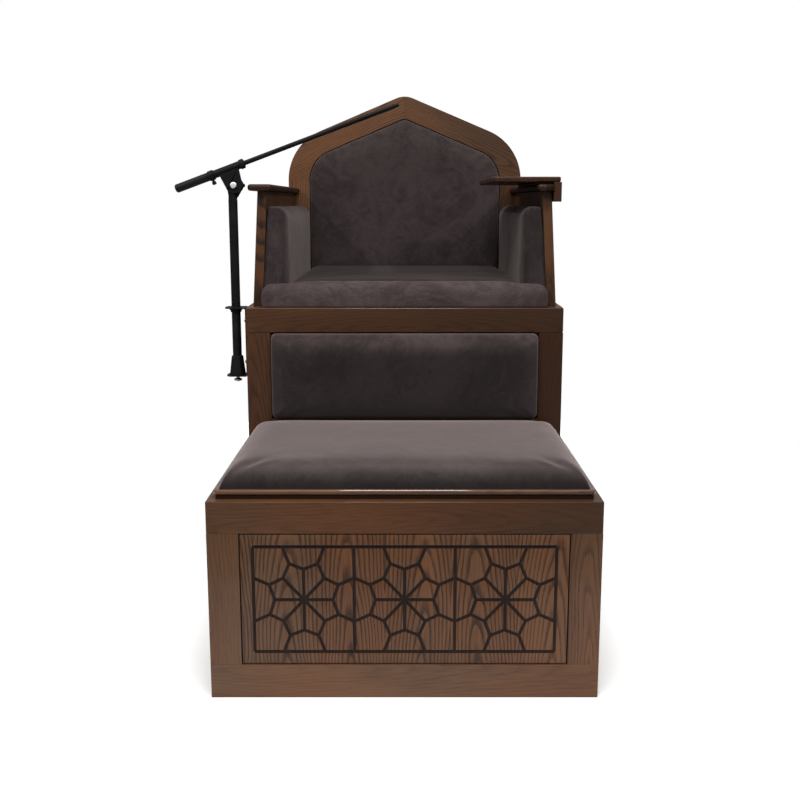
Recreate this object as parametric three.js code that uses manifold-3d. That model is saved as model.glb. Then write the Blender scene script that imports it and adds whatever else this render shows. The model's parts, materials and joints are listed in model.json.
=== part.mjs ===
// A reciter's pulpit chair: a low carved box with a cushion to step and sit on, joined to a tall
// box that carries an armchair. A swinging book board lies on the right arm, and a bracket on the
// left side of the tall box holds a swivelling microphone boom.
// Millimetres. +X is to the right of a person who faces the chair, +Y goes towards its back and
// +Z is up. The origin is on the floor, in the middle of the lower box's front rail.
import * as THREE from "three";
import { mergeVertices } from "three/addons/utils/BufferGeometryUtils.js";
import Module from "manifold-3d";

const wasm = await Module();
wasm.setup();

// ---- Driving dimensions ----
const WIDTH = 780; // both boxes
const LOWER_DEPTH = 476; // from the lower box's front to the upper box's front
const UPPER_DEPTH = 609;
const LOWER_HEIGHT = 412;
const UPPER_HEIGHT = 735;
const FRAME_BOARD = 20; // thickness of rails and stiles
const CARCASS_BOARD = 18; // thickness of side boards and seat board
const GAP = 0.3; // between pieces that touch or turn on each other

const HALF = WIDTH / 2;
const SIDE_IN = HALF - CARCASS_BOARD; // inner faces of the side boards
const FRONT = -FRAME_BOARD / 2;
const UPPER_FRONT = FRONT + LOWER_DEPTH;
const REAR = UPPER_FRONT + UPPER_DEPTH;
const ABOVE = 2 * UPPER_HEIGHT; // a height over everything, for cutting tools

// Lower box
const LOWER_RAIL_TOP = 65;
const LOWER_RAIL_BOTTOM = 71;
const LOWER_STILE = 63;
const REBATE = 8; // width of the step behind the frame that takes the carved panel's flange
const REBATE_FRONT = FRONT + 12;
const PANEL_REVEAL = 2.5; // shadow gap round the carved panel
const PANEL_SETBACK = 1.5;
const CARVED_HALF = 300; // half width of the carved field
const CARVED_BOTTOM = 98.5;
const CARVED_TOP = 319.5;
const CELLS = 3;
const STAR_POINTS = 8;
const STAR_INNER = 0.58; // ends of the star's spokes, as a part of the cell's half size
const STAR_OUTER = 0.74; // corners between the spokes
const GROOVE_HALF = 3.9;
const GROOVE_DEPTH = 4;
const LID_INSET = 13;
const NECK_INSET = 17;
const NECK_HEIGHT = 8;
const LID_HEIGHT = 12;
const LOWER_CUSHION_TOP = 472;
const LOWER_CUSHION_FRONT = FRONT + 15;
const LOWER_CUSHION_HALF = 368;

// Upper box
const UPPER_RAIL_TOP = 62;
const UPPER_STILE = 59;
const FRONT_PAD_PROUD = 26;
const FRONT_PAD_BOTTOM = 456;
const FOOT_RAIL = 71;
const BACKING_BOARD = 9; // plywood behind the front pad and the backrest pad

// Armchair
const ARM_TOP = 1034;
const ARM_BOARD = 16;
const ARM_INNER = 322;
const ARM_OUTER = 380;
const ARM_FRONT = UPPER_FRONT + 10;
const ARM_CORNER = 9; // corner radius of the armrest in plan
const ARM_ROUND = 6; // rounding of its long edges
const POST_FRONT = UPPER_FRONT + 30;
const POST_FOOT_X = 375.5; // outer face of a side panel at its foot
const POST_HEAD_X = 358.5; // and under the armrest
const POST_BOARD = 23;
const BACK_FRONT = REAR - 35; // front face of the backrest frame
const SEAT_TOP = 797;
const SEAT_FRONT = UPPER_FRONT + 4;
const SIDE_PAD_INNER = 290;
const SIDE_PAD_TOP = 982;
const SIDE_PAD_CORNER = 12;
const SEAT_ROLL_HALF = 355; // the seat cushion's front roll, in front of the side panels
const BACK_HALF = 355;
const BACK_SPRING = 1057; // height where the shoulder arcs begin
const BACK_SHOULDER = 160; // radius of the shoulder arcs
const BACK_APEX = 1312; // where the two slopes would meet
const BACK_APEX_RADIUS = 65;
const BACK_BORDER = 64;
const BACK_PAD_FRONT = BACK_FRONT - 14;
const BACK_PAD_BOTTOM = 770;

// Book board
const BOARD_INNER = 215;
const BOARD_BOTTOM = 1039.5;
const BOARD_TOP = 1052;
const BOARD_FRONT = ARM_FRONT + 10;
const BOARD_REAR = BOARD_FRONT + 400;
const BLOCK_INNER = 361; // the pivot block is let into the right armrest's outer front corner
const BLOCK_FRONT = ARM_FRONT + 4;
const BLOCK_REAR = BLOCK_FRONT + 90;
const BLOCK_BOTTOM = 992;
const SWING_X = (BLOCK_INNER + ARM_OUTER) / 2; // the bolt that the board turns on
const SWING_Y = BLOCK_FRONT + 40;
const SWING_BOLT = 3.5;
const SWING_HEAD = 6;
const SWING_HEAD_HEIGHT = 4;

// Microphone stand
const POLE_X = -418.5;
const POLE_Y = UPPER_FRONT + 30;
const POLE_RADIUS = 11;
const POLE_WALL = 1.5;
const POLE_TOP = 998;
const BRACKET_TOP = 734;
const BRACKET_BOTTOM = 561;
const BRACKET_METAL = 3;
const BRACKET_WIDTH = 42;
const BRACKET_REACH = 54;
const BRACKET_BEND = 6; // outer radius of its two bends
const BUSHING_RADIUS = 13.4;
const BOLT_RADIUS = 4;
const SCREW_HEIGHTS = [["upper", 700], ["lower", 596]];
const PIVOT = new THREE.Vector3(-413.5, POLE_Y, 1031.5);
const BOOM_SLOPE = THREE.MathUtils.degToRad(20.3);
const BOOM_OFFSET = 41; // boom axis above the tilt pivot
const ROD_RADIUS = 5.75;
const ROD_FRONT = 429;
const SLEEVE_REAR = -37;
const SLEEVE_FRONT = 42;
const COLLAR_REAR = -51;
const WEIGHT_REAR = COLLAR_REAR - 86;
const DISC_RADIUS = 20;
const DISC_THICKNESS = 12;
const PIVOT_RADIUS = 3.9; // the tilt bolt's shank
const PIVOT_BORE = PIVOT_RADIUS + 0.5;
const ROD_WALL = 1.2;
const THREAD_LENGTH = 12;

// ---- Materials ----
function material(color, roughness, metalness = 0) {
  return new THREE.MeshStandardMaterial({ color, roughness, metalness });
}
const wood = () => material(0x5a3d2a, 0.42);
const panelWood = () => material(0x4e3526, 0.5);
const velvet = () => material(0x544b4a, 0.95);
const blackMetal = () => material(0x1b1b1c, 0.45, 0.6);
const blackPlastic = () => material(0x161616, 0.5);
const steel = () => material(0xb8b6b0, 0.3, 1);

const chair = new THREE.Group();
chair.name = "pulpit_chair";

function add(name, geometry, finish, group = chair) {
  const mesh = new THREE.Mesh(geometry, finish());
  mesh.name = name;
  group.add(mesh);
  return mesh;
}

// ---- Solids ----
function solid(geometry) {
  const bare = geometry.index ? geometry.toNonIndexed() : geometry.clone();
  bare.deleteAttribute("normal");
  bare.deleteAttribute("uv");
  const merged = mergeVertices(bare, 1e-4);
  return new wasm.Manifold(
    new wasm.Mesh({
      numProp: 3,
      vertProperties: merged.attributes.position.array,
      triVerts: new Uint32Array(merged.index.array),
    }),
  );
}

function shell(manifold) {
  const mesh = manifold.getMesh();
  const geometry = new THREE.BufferGeometry();
  geometry.setAttribute("position", new THREE.BufferAttribute(mesh.vertProperties, 3));
  geometry.setIndex(new THREE.BufferAttribute(mesh.triVerts, 1));
  return geometry;
}

function join(...geometries) {
  return shell(geometries.map(solid).reduce((all, next) => all.add(next)));
}

function cut(geometry, ...tools) {
  return shell(tools.map(solid).reduce((left, tool) => left.subtract(tool), solid(geometry)));
}

function common(a, b) {
  return shell(solid(a).intersect(solid(b)));
}

// A box between two corners.
function block(x0, x1, y0, y1, z0, z1) {
  const box = new THREE.BoxGeometry(x1 - x0, y1 - y0, z1 - z0);
  return box.translate((x0 + x1) / 2, (y0 + y1) / 2, (z0 + z1) / 2);
}

// A rectangle with round corners, as an outline.
function roundedRectangle(x0, x1, y0, y1, r) {
  const s = new THREE.Shape();
  s.absarc(x1 - r, y0 + r, r, -Math.PI / 2, 0);
  s.absarc(x1 - r, y1 - r, r, 0, Math.PI / 2);
  s.absarc(x0 + r, y1 - r, r, Math.PI / 2, Math.PI);
  s.absarc(x0 + r, y0 + r, r, Math.PI, (3 * Math.PI) / 2);
  s.closePath();
  return s;
}

function polygon(points) {
  return new THREE.Shape(points.map(([x, y]) => new THREE.Vector2(x, y)));
}

// An outline extruded along an axis: an XY outline along z, XZ along y, or YZ along x.
// edge rounds its two rims without growing the outline.
function prism(outline, axis, from, to, edge = 0, curveSegments = 6) {
  const geometry = new THREE.ExtrudeGeometry(outline, {
    depth: to - from - 2 * edge,
    bevelEnabled: edge > 0,
    bevelThickness: edge,
    bevelSize: edge,
    bevelOffset: -edge,
    bevelSegments: 3,
    curveSegments,
  });
  geometry.translate(0, 0, edge);
  if (axis === "z") return geometry.translate(0, 0, from);
  if (axis === "y") return geometry.rotateX(Math.PI / 2).translate(0, to, 0);
  const turn = new THREE.Matrix4().makeBasis(
    new THREE.Vector3(0, 1, 0),
    new THREE.Vector3(0, 0, 1),
    new THREE.Vector3(1, 0, 0),
  );
  return geometry.applyMatrix4(turn).translate(from, 0, 0);
}

// A turned piece: [radius, height] pairs about the axis, moved to (x, y, z).
function turned(profile, axis, x, y, z, segments = 24) {
  const points = profile.map(([r, h]) => new THREE.Vector2(r, h));
  const geometry = new THREE.LatheGeometry(points, segments);
  if (axis === "z") geometry.rotateX(Math.PI / 2);
  if (axis === "x") geometry.rotateZ(-Math.PI / 2);
  return geometry.translate(x, y, z);
}

const rod = (r, from, to) => [[0, from], [r, from], [r, to], [0, to]];
const tube = (inner, r, from, to) => [[inner, from], [r, from], [r, to], [inner, to], [inner, from]];

const SIDES = [["left", -1], ["right", 1]];

// A box mirrored to the chosen side of the symmetry plane.
function sideBlock(side, inner, outer, y0, y1, z0, z1) {
  const xs = [side * inner, side * outer].sort((a, b) => a - b);
  return block(xs[0], xs[1], y0, y1, z0, z1);
}

function sideOutline(side, points) {
  const mirrored = points.map(([x, y]) => [side * x, y]);
  return polygon(side < 0 ? mirrored.reverse() : mirrored);
}

// ---- Lower box ----
const openingHalf = HALF - LOWER_STILE;
const openingTop = LOWER_HEIGHT - LOWER_RAIL_TOP;
const frameBack = FRONT + FRAME_BOARD;

function rebateCutter() {
  const half = openingHalf + REBATE;
  const low = LOWER_RAIL_BOTTOM - REBATE;
  return block(-half, half, REBATE_FRONT, frameBack + 1, low, openingTop + REBATE);
}

// A groove with a V section between two points of the panel's face.
function groove(x0, z0, x1, z1, faceY) {
  const length = Math.hypot(x1 - x0, z1 - z0);
  const open = GROOVE_HALF * (1 + 1 / GROOVE_DEPTH); // half width 1 mm in front of the face
  const section = polygon([[-open, -1], [open, -1], [0, GROOVE_DEPTH]]);
  const cutter = new THREE.ExtrudeGeometry(section, { depth: length, bevelEnabled: false });
  const along = new THREE.Vector3(x1 - x0, 0, z1 - z0).normalize();
  const inward = new THREE.Vector3(0, 1, 0);
  const across = new THREE.Vector3().crossVectors(inward, along);
  cutter.applyMatrix4(new THREE.Matrix4().makeBasis(across, inward, along));
  return solid(cutter.translate(x0, faceY, z0));
}

// The pointed pit that the cutter leaves where grooves meet or end.
function pit(x, z, faceY) {
  const open = GROOVE_HALF * (1 + 1 / GROOVE_DEPTH);
  const cone = new THREE.ConeGeometry(open, GROOVE_DEPTH + 1, 8);
  return solid(cone.translate(x, faceY + (GROOVE_DEPTH - 1) / 2, z));
}

// One eight-rayed star: spokes, a zigzag ring, and rays from its outer corners to the cell's edge.
function starCuts(centreX, centreZ, cellHalfX, cellHalfZ, faceY) {
  const cuts = [];
  const step = Math.PI / STAR_POINTS;
  const at = (r, k) => [
    centreX + cellHalfX * r * Math.cos(k * step),
    centreZ + cellHalfZ * r * Math.sin(k * step),
  ];
  const edgeReach = 1 / Math.cos(step);
  for (let k = 0; k < 2 * STAR_POINTS; k += 2) {
    const tip = at(STAR_INNER, k);
    const corner = at(STAR_OUTER, k + 1);
    const nextTip = at(STAR_INNER, k + 2);
    const edge = at(edgeReach, k + 1);
    cuts.push(groove(centreX, centreZ, ...tip, faceY));
    cuts.push(groove(...tip, ...corner, faceY));
    cuts.push(groove(...corner, ...nextTip, faceY));
    cuts.push(groove(...corner, ...edge, faceY));
    cuts.push(pit(...tip, faceY));
    cuts.push(pit(...corner, faceY));
  }
  cuts.push(pit(centreX, centreZ, faceY));
  return cuts;
}

function carvedPanel() {
  const faceY = FRONT + PANEL_SETBACK;
  const half = openingHalf - PANEL_REVEAL;
  const flange = openingHalf + REBATE - GAP;
  const low = LOWER_RAIL_BOTTOM + PANEL_REVEAL;
  const front = block(-half, half, faceY, REBATE_FRONT + 1, low, openingTop - PANEL_REVEAL);
  const back = block(
    -flange, flange, REBATE_FRONT, frameBack,
    LOWER_RAIL_BOTTOM - REBATE + GAP, openingTop + REBATE - GAP,
  );
  const cuts = [];
  const pitch = (2 * CARVED_HALF) / CELLS;
  const midZ = (CARVED_BOTTOM + CARVED_TOP) / 2;
  for (const z of [CARVED_BOTTOM, CARVED_TOP])
    cuts.push(groove(-CARVED_HALF, z, CARVED_HALF, z, faceY));
  for (let i = 0; i <= CELLS; i++) {
    const x = -CARVED_HALF + i * pitch;
    cuts.push(groove(x, CARVED_BOTTOM, x, CARVED_TOP, faceY));
  }
  for (let i = 0; i < CELLS; i++) {
    const x = -CARVED_HALF + (i + 0.5) * pitch;
    cuts.push(...starCuts(x, midZ, pitch / 2, (CARVED_TOP - CARVED_BOTTOM) / 2, faceY));
  }
  const carving = cuts.reduce((all, next) => all.add(next));
  return shell(solid(join(front, back)).subtract(carving));
}

function lowerBox() {
  const rebate = rebateCutter();
  const topRail = block(-HALF, HALF, FRONT, frameBack, openingTop, LOWER_HEIGHT);
  const bottomRail = block(-HALF, HALF, FRONT, frameBack, 0, LOWER_RAIL_BOTTOM);
  add("lower_top_rail", cut(topRail, rebate), wood);
  add("lower_bottom_rail", cut(bottomRail, rebate), wood);
  for (const [name, side] of SIDES) {
    const stile = sideBlock(
      side, openingHalf, HALF, FRONT, frameBack, LOWER_RAIL_BOTTOM, openingTop,
    );
    const board = sideBlock(side, SIDE_IN, HALF, frameBack, UPPER_FRONT, 0, LOWER_HEIGHT);
    add("lower_stile_" + name, cut(stile, rebate), wood);
    add("lower_side_" + name, board, wood);
  }
  add("carved_panel", carvedPanel(), panelWood);
  const cleatFront = UPPER_FRONT - FRAME_BOARD;
  const cleat = block(-SIDE_IN, SIDE_IN, cleatFront, UPPER_FRONT, openingTop, LOWER_HEIGHT);
  add("lower_rear_cleat", cleat, wood);

  const neckTop = LOWER_HEIGHT + NECK_HEIGHT;
  const lidTop = neckTop + LID_HEIGHT;
  const neckHalf = HALF - NECK_INSET;
  const neck = block(-neckHalf, neckHalf, FRONT + NECK_INSET, UPPER_FRONT, LOWER_HEIGHT, neckTop);
  add("lower_lid_spacer", neck, wood);
  const lidHalf = HALF - LID_INSET;
  const lid = roundedRectangle(-lidHalf, lidHalf, FRONT + LID_INSET, UPPER_FRONT, 9);
  add("lower_lid", prism(lid, "z", neckTop, lidTop, 5, 3), wood);

  const cushionRear = UPPER_FRONT - FRONT_PAD_PROUD - GAP;
  const plan = roundedRectangle(
    -LOWER_CUSHION_HALF, LOWER_CUSHION_HALF, LOWER_CUSHION_FRONT, cushionRear, 34,
  );
  add("lower_cushion", prism(plan, "z", lidTop + GAP, LOWER_CUSHION_TOP, 13, 5), velvet);
}

// ---- Upper box ----
function upperBox() {
  const back = UPPER_FRONT + FRAME_BOARD;
  const inner = HALF - UPPER_STILE;
  const railZ = UPPER_HEIGHT - UPPER_RAIL_TOP;
  add("upper_top_rail", block(-HALF, HALF, UPPER_FRONT, back, railZ, UPPER_HEIGHT), wood);
  const midRail = block(
    -inner, inner, UPPER_FRONT, back, FRONT_PAD_BOTTOM - UPPER_RAIL_TOP, FRONT_PAD_BOTTOM,
  );
  add("upper_middle_rail", midRail, wood);
  add("upper_foot_rail", block(-inner, inner, UPPER_FRONT, back, 0, FOOT_RAIL), wood);
  for (const [name, side] of SIDES) {
    add("upper_stile_" + name, sideBlock(side, inner, HALF, UPPER_FRONT, back, 0, railZ), wood);
    add("upper_side_" + name, sideBlock(side, SIDE_IN, HALF, back, REAR, 0, UPPER_HEIGHT), wood);
  }
  const backingFront = back - BACKING_BOARD;
  const backing = block(-inner, inner, backingFront, back, FRONT_PAD_BOTTOM, railZ);
  add("front_pad_backing", backing, panelWood);
  const outline = roundedRectangle(
    GAP - inner, inner - GAP, FRONT_PAD_BOTTOM + GAP, railZ - GAP, 12,
  );
  const padFront = UPPER_FRONT - FRONT_PAD_PROUD;
  add("front_pad", prism(outline, "y", padFront, backingFront - GAP, 8, 4), velvet);

  const panelFront = REAR - CARCASS_BOARD;
  const seatBoard = block(
    -SIDE_IN, SIDE_IN, back, panelFront, UPPER_HEIGHT - CARCASS_BOARD, UPPER_HEIGHT,
  );
  add("upper_seat_board", seatBoard, panelWood);
  add("upper_rear_panel", block(-SIDE_IN, SIDE_IN, panelFront, REAR, 0, UPPER_HEIGHT), wood);
}

// ---- Armchair ----
// The backrest's outline, inset by the given border: slopes, a round peak and round shoulders.
function backOutline(inset, bottom) {
  const half = BACK_HALF - inset;
  const r = BACK_SHOULDER - inset;
  const centreX = BACK_HALF - BACK_SHOULDER;
  const slope = backSlope();
  const apexZ = BACK_APEX - inset / Math.cos(slope);
  const peak = BACK_APEX_RADIUS - (inset * BACK_APEX_RADIUS) / (2 * BACK_BORDER);
  const peakZ = apexZ - peak / Math.cos(slope);
  const s = new THREE.Shape();
  s.moveTo(half, bottom);
  s.lineTo(half, BACK_SPRING);
  s.absarc(centreX, BACK_SPRING, r, 0, Math.PI / 2 - slope);
  s.absarc(0, peakZ, peak, Math.PI / 2 - slope, Math.PI / 2 + slope);
  s.absarc(-centreX, BACK_SPRING, r, Math.PI / 2 + slope, Math.PI);
  s.lineTo(-half, bottom);
  s.closePath();
  return s;
}

// The angle of the slopes, which fall from the apex and touch the shoulder arcs.
function backSlope() {
  const rise = BACK_APEX - BACK_SPRING;
  const run = BACK_HALF - BACK_SHOULDER;
  return Math.acos(BACK_SHOULDER / Math.hypot(rise, run)) - Math.atan2(run, rise);
}

function armchair() {
  const postTop = ARM_TOP - ARM_BOARD;
  const seatZ = UPPER_HEIGHT;
  for (const [name, side] of SIDES) {
    const post = sideOutline(side, [
      [POST_FOOT_X - POST_BOARD, seatZ],
      [POST_FOOT_X, seatZ],
      [POST_HEAD_X, postTop],
      [POST_HEAD_X - POST_BOARD, postTop],
    ]);
    add("side_panel_" + name, prism(post, "y", POST_FRONT, BACK_FRONT), wood);

    const lean = (POST_FOOT_X - POST_HEAD_X) / (postTop - seatZ);
    const padOuter = (z) => POST_FOOT_X - POST_BOARD - 2 * GAP - lean * (z - seatZ);
    const pad = sideOutline(side, [
      [SIDE_PAD_INNER + 2 * GAP, seatZ + GAP],
      [padOuter(seatZ), seatZ + GAP],
      [padOuter(SIDE_PAD_TOP), SIDE_PAD_TOP],
      [SIDE_PAD_INNER + SIDE_PAD_CORNER, SIDE_PAD_TOP],
      [SIDE_PAD_INNER + 2 * GAP, SIDE_PAD_TOP - SIDE_PAD_CORNER],
    ]);
    const padBack = BACK_PAD_FRONT - 2 * GAP;
    add("side_pad_" + name, prism(pad, "y", POST_FRONT + 2 * GAP, padBack, 8, 3), velvet);

    const armInner = side < 0 ? -ARM_OUTER : ARM_INNER;
    const plan = roundedRectangle(
      armInner, armInner + ARM_OUTER - ARM_INNER, ARM_FRONT, BACK_FRONT + 20, ARM_CORNER,
    );
    const arm = prism(plan, "z", postTop, ARM_TOP, ARM_ROUND, 4);
    const rear = block(-HALF, HALF, BACK_FRONT, REAR, 0, ABOVE);
    const notch = block(BLOCK_INNER, HALF, 0, BLOCK_REAR + GAP, 0, ABOVE);
    add("armrest_" + name, cut(arm, rear, notch), wood);
  }

  add("seat_cushion", prism(seatOutline(), "z", seatZ + GAP, SEAT_TOP, 9, 4), velvet);
}

// The seat cushion in plan: a T, its front roll passing before the side panels and side pads.
function seatOutline() {
  const r = 10;
  const front = SEAT_FRONT;
  const rollBack = POST_FRONT - 2 * GAP;
  const rear = BACK_PAD_FRONT - 2 * GAP;
  const wide = SEAT_ROLL_HALF;
  const narrow = SIDE_PAD_INNER;
  const s = new THREE.Shape();
  s.absarc(wide - r, front + r, r, -Math.PI / 2, 0);
  s.absarc(wide - r, rollBack - r, r, 0, Math.PI / 2);
  s.lineTo(narrow, rollBack);
  s.absarc(narrow - r, rear - r, r, 0, Math.PI / 2);
  s.absarc(r - narrow, rear - r, r, Math.PI / 2, Math.PI);
  s.lineTo(-narrow, rollBack);
  s.absarc(r - wide, rollBack - r, r, Math.PI / 2, Math.PI);
  s.absarc(r - wide, front + r, r, Math.PI, (3 * Math.PI) / 2);
  s.closePath();
  return s;
}

function backrest() {
  const outer = prism(backOutline(0, UPPER_HEIGHT), "y", BACK_FRONT, REAR, 0, 10);
  const hole = prism(
    backOutline(BACK_BORDER, BACK_PAD_BOTTOM), "y", BACK_FRONT - 1, REAR + 1, 0, 8,
  );
  const ring = cut(outer, hole);
  const far = 2 * HALF;
  const rails = block(-far, far, 0, 2 * REAR, 0, BACK_PAD_BOTTOM);
  add("backrest_bottom_rail", common(ring, rails), wood);
  for (const [name, side] of SIDES) {
    const stile = sideBlock(side, 0, far, 0, 2 * REAR, BACK_PAD_BOTTOM, BACK_SPRING);
    const gable = sideBlock(side, 0, far, 0, 2 * REAR, BACK_SPRING, ABOVE);
    add("backrest_stile_" + name, common(ring, stile), wood);
    add("backrest_gable_" + name, common(ring, gable), wood);
  }
  const panelFront = REAR - BACKING_BOARD;
  const inset = BACK_BORDER + GAP;
  const low = BACK_PAD_BOTTOM + GAP;
  add("backrest_panel", prism(backOutline(inset, low), "y", panelFront, REAR, 0, 8), panelWood);
  const pad = prism(backOutline(inset, low), "y", BACK_PAD_FRONT, panelFront - GAP, 9, 8);
  add("backrest_pad", pad, velvet);
}

// ---- Book board on the right arm ----
// A cutter for the board's bolt: its shank from a height up, then its head.
function boltRoom(bottom, headBottom) {
  const shank = turned(rod(SWING_BOLT + GAP, bottom, ABOVE), "z", SWING_X, SWING_Y, 0, 16);
  const head = turned(rod(SWING_HEAD + GAP, headBottom, ABOVE), "z", SWING_X, SWING_Y, 0, 16);
  return join(shank, head);
}

function bookBoard() {
  const headTop = BOARD_TOP - 2 * GAP;
  const headBottom = headTop - SWING_HEAD_HEIGHT;
  const boltBottom = BLOCK_BOTTOM + 12;
  const plan = roundedRectangle(BOARD_INNER, ARM_OUTER, BOARD_FRONT, BOARD_REAR, 12);
  const board = prism(plan, "z", BOARD_BOTTOM, BOARD_TOP, 3, 4);
  add("tablet_board", cut(board, boltRoom(0, headBottom - GAP)), wood);
  const pivotBlock = block(
    BLOCK_INNER + GAP, ARM_OUTER, BLOCK_FRONT, BLOCK_REAR, BLOCK_BOTTOM, BOARD_BOTTOM - GAP,
  );
  add("tablet_side_block", cut(pivotBlock, boltRoom(boltBottom - GAP, ABOVE - 1)), wood);
  const bolt = [
    [0, boltBottom],
    [SWING_BOLT, boltBottom],
    [SWING_BOLT, headBottom],
    [SWING_HEAD, headBottom],
    [SWING_HEAD, headTop - 1],
    [SWING_HEAD - 1, headTop],
    [0, headTop],
  ];
  add("tablet_bolt", turned(bolt, "z", SWING_X, SWING_Y, 0, 16), steel);
  const strip = block(
    ARM_INNER + 4, BLOCK_INNER - 1, ARM_FRONT + 20, BOARD_REAR - 10,
    ARM_TOP + GAP, BOARD_BOTTOM - GAP,
  );
  add("tablet_rest_strip", strip, wood);
}

// ---- Microphone stand ----
function bracket() {
  const wall = -HALF - GAP;
  const plate = wall - BRACKET_METAL;
  const tip = wall - BRACKET_REACH;
  const upper = BRACKET_TOP - BRACKET_METAL;
  const lower = BRACKET_BOTTOM + BRACKET_METAL;
  const bend = BRACKET_BEND;
  const s = new THREE.Shape();
  s.moveTo(tip, BRACKET_BOTTOM);
  s.lineTo(wall - bend, BRACKET_BOTTOM);
  s.absarc(wall - bend, BRACKET_BOTTOM + bend, bend, -Math.PI / 2, 0);
  s.lineTo(wall, BRACKET_TOP - bend);
  s.absarc(wall - bend, BRACKET_TOP - bend, bend, 0, Math.PI / 2);
  s.lineTo(tip, BRACKET_TOP);
  s.lineTo(tip, upper);
  s.lineTo(wall - bend, upper);
  s.absarc(wall - bend, BRACKET_TOP - bend, bend - BRACKET_METAL, Math.PI / 2, 0, true);
  s.lineTo(plate, BRACKET_BOTTOM + bend);
  s.absarc(wall - bend, BRACKET_BOTTOM + bend, bend - BRACKET_METAL, 0, -Math.PI / 2, true);
  s.lineTo(tip, lower);
  s.closePath();
  const y0 = POLE_Y - BRACKET_WIDTH / 2;
  const y1 = POLE_Y + BRACKET_WIDTH / 2;
  const bar = prism(s, "y", y0, y1, 0, 3);
  const rounded = roundedRectangle(tip, 0, y0, y1, 14);
  const trimmed = common(bar, prism(rounded, "z", 0, ABOVE, 0, 4));
  const hole = (r, z) => turned(rod(r + 2 * GAP, -10, 10), "z", POLE_X, POLE_Y, z, 16);
  const bushingHole = hole(BUSHING_RADIUS, BRACKET_TOP);
  const boltHole = hole(BOLT_RADIUS, BRACKET_BOTTOM);
  return cut(trimmed, bushingHole, boltHole);
}

function bracketParts() {
  add("bracket", bracket(), blackMetal);
  const plate = -HALF - GAP - BRACKET_METAL - GAP;
  const head = [[0, -6.2], [3, -6], [5, -3.4], [5.5, 0], [0, 0]];
  for (const [name, z] of SCREW_HEIGHTS)
    add("bracket_screw_" + name, turned(head, "x", plate, POLE_Y, z, 12), steel);
  const under = BRACKET_TOP - BRACKET_METAL - GAP;
  const bushing = [
    [POLE_RADIUS + GAP, under - 9],
    [BUSHING_RADIUS, under - 9],
    [BUSHING_RADIUS, under - 4],
    [BUSHING_RADIUS + 2.6, under - 4],
    [BUSHING_RADIUS + 2.6, under],
    [BUSHING_RADIUS, under],
    [BUSHING_RADIUS, BRACKET_TOP + 1],
    [POLE_RADIUS + GAP, BRACKET_TOP + 1],
    [POLE_RADIUS + GAP, under - 9],
  ];
  add("bracket_bushing", turned(bushing, "z", POLE_X, POLE_Y, 0), blackPlastic);
}

function pole() {
  const footBottom = BRACKET_BOTTOM + BRACKET_METAL + GAP;
  const seat = footBottom + 11;
  const inner = POLE_RADIUS - POLE_WALL;
  const profile = tube(inner, POLE_RADIUS, seat + GAP, POLE_TOP);
  add("pole", turned(profile, "z", POLE_X, POLE_Y, 0), blackMetal);
  const bore = BOLT_RADIUS + 2 * GAP;
  const foot = [
    [bore, footBottom],
    [19.5, footBottom],
    [19.5, footBottom + 3],
    [14.3, footBottom + 46],
    [POLE_RADIUS + GAP, footBottom + 48],
    [POLE_RADIUS + GAP, seat],
    [bore, seat],
    [bore, footBottom],
  ];
  add("pole_foot", turned(foot, "z", POLE_X, POLE_Y, 0), blackPlastic);
  const boltHead = BRACKET_BOTTOM - 15;
  const bolt = [
    [0, boltHead],
    [6, boltHead + 0.5],
    [10, boltHead + 3],
    [10, boltHead + 6],
    [BOLT_RADIUS, boltHead + 9],
    [BOLT_RADIUS, seat + 24],
    [0, seat + 24],
  ];
  add("foot_bolt", turned(bolt, "z", POLE_X, POLE_Y, 0, 16), steel);
}

// A disc on the tilt axis, between two distances from the pole's axis plane.
function disc(r, from, to, segments = 24) {
  return turned(rod(r, from, to), "y", PIVOT.x, PIVOT.y, PIVOT.z, segments);
}

function swivel() {
  const neckTop = PIVOT.z - DISC_RADIUS - GAP;
  const neck = turned(rod(10.6, POLE_TOP + GAP, neckTop), "z", POLE_X, POLE_Y, 0);
  const plug = turned(
    rod(POLE_RADIUS - POLE_WALL - GAP, POLE_TOP - 14, POLE_TOP + 1), "z", POLE_X, POLE_Y, 0,
  );
  const cheek = polygon([
    [POLE_X - 10, POLE_TOP + 4],
    [POLE_X + 10, POLE_TOP + 4],
    [PIVOT.x + DISC_RADIUS * 0.95, PIVOT.z - DISC_RADIUS * 0.3],
    [PIVOT.x - DISC_RADIUS * 0.95, PIVOT.z - DISC_RADIUS * 0.3],
  ]);
  const funnel = prism(cheek, "y", POLE_Y + 1, POLE_Y + DISC_THICKNESS);
  const body = join(neck, plug, funnel, disc(DISC_RADIUS, 1, DISC_THICKNESS));
  add("swivel_base", cut(body, disc(PIVOT_BORE, -30, 30, 16)), blackPlastic);

  const bolt = [
    [0, -16],
    [7.5, -16],
    [9, -14.5],
    [9, -DISC_THICKNESS - GAP],
    [PIVOT_RADIUS, -DISC_THICKNESS - GAP],
    [PIVOT_RADIUS, 17],
    [0, 17],
  ];
  add("pivot_bolt", turned(bolt, "y", PIVOT.x, PIVOT.y, PIVOT.z), blackPlastic);

  const hub = disc(8, DISC_THICKNESS + GAP, 23, 16);
  const arm = turned(
    [[0, 0], [3, 0], [3, 13], [4.6, 15], [4.6, 20], [3, 22], [0, 22]],
    "x", PIVOT.x, PIVOT.y + 18, PIVOT.z, 12,
  );
  add("tilt_knob", cut(join(hub, arm), disc(PIVOT_BORE, 0, 17.6, 16)), blackPlastic);
}

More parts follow.
